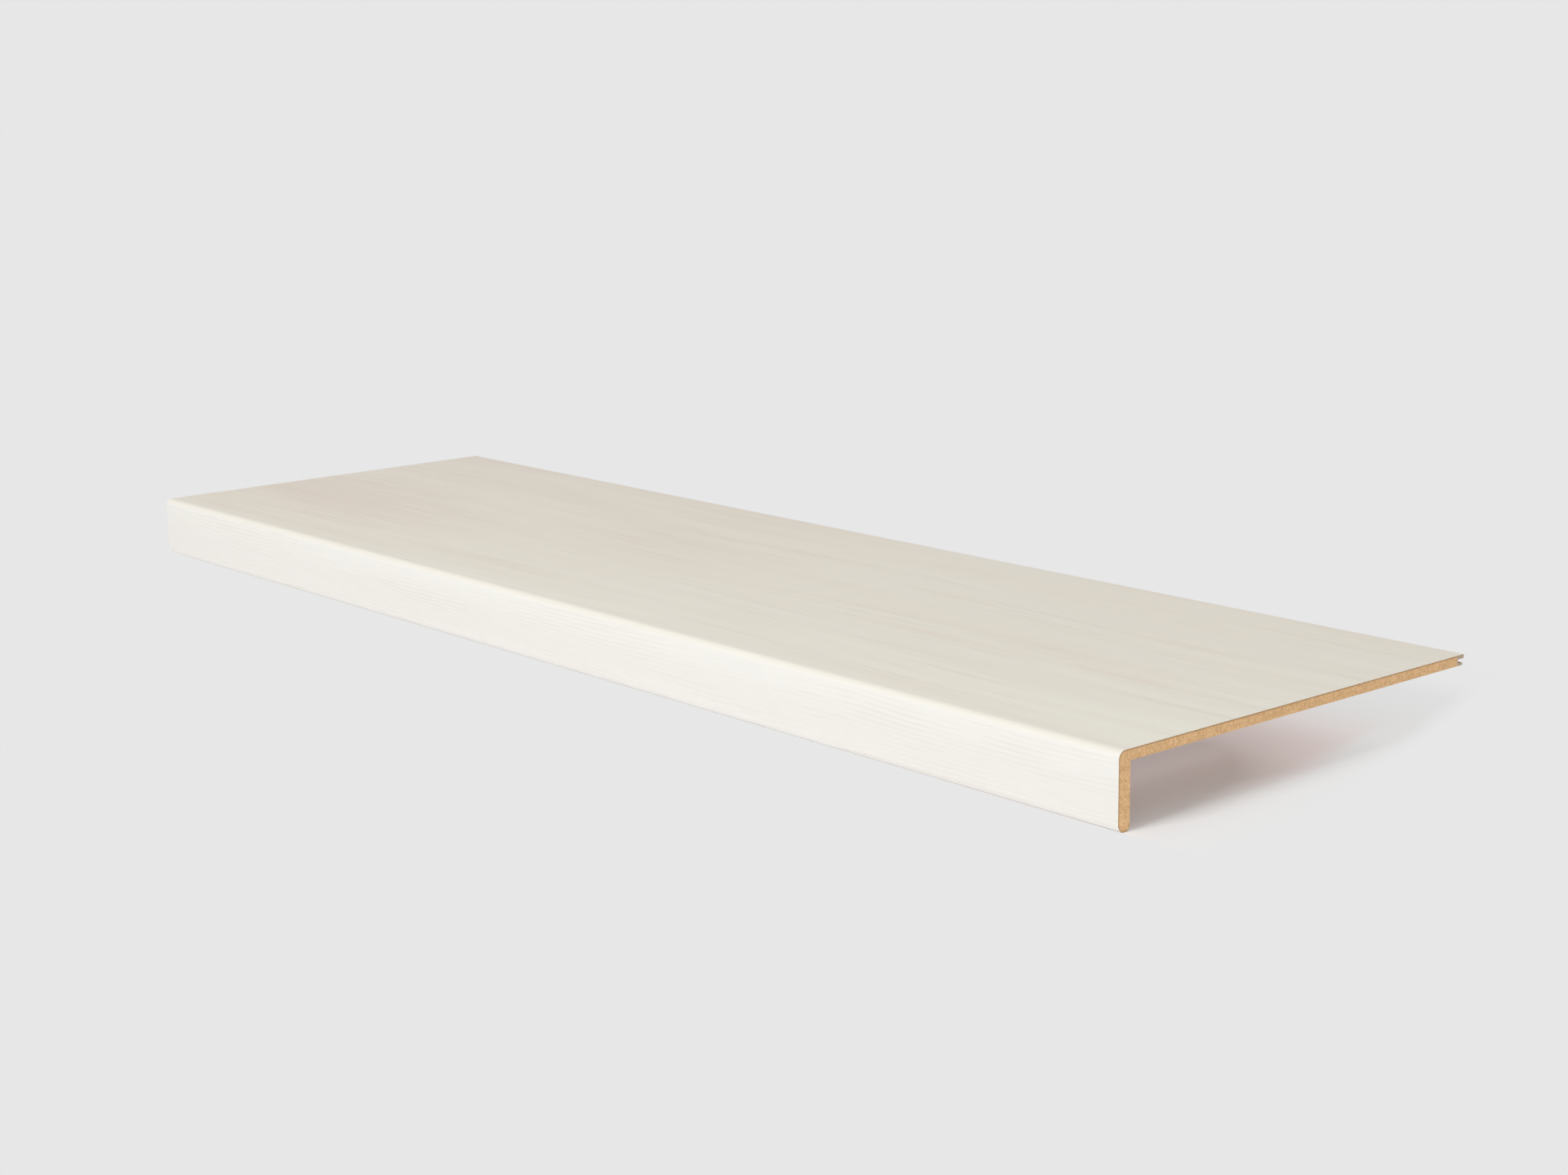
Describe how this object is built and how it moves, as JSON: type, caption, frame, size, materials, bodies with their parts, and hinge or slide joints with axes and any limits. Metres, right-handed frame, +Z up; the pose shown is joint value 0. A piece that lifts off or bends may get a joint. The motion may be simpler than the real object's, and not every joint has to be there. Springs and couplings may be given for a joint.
{
  "type": "laminate stair tread",
  "caption": "Overlay stair tread: a flat laminate-faced fibreboard slab with a rounded nosing, a short front apron and a grooved rear edge.",
  "frame": {"origin": "on the floor under the middle of the tread: midway along it and midway between nosing and rear edge", "axes": "+X along the nosing, +Y from the nosing to the rear edge, +Z up through the walking surface"},
  "size_m": [1.3, 0.38, 0.056],
  "materials": {
    "fibreboard": "sawn and milled high-density fibreboard, matt, fine speckle",
    "decor_laminate": "whitewashed wood-grain decor laminate, satin"
  },
  "bodies": {
    "root": {"hdf_core": "fibreboard", "laminate_skin": "decor_laminate"}
  },
  "joints": []
}
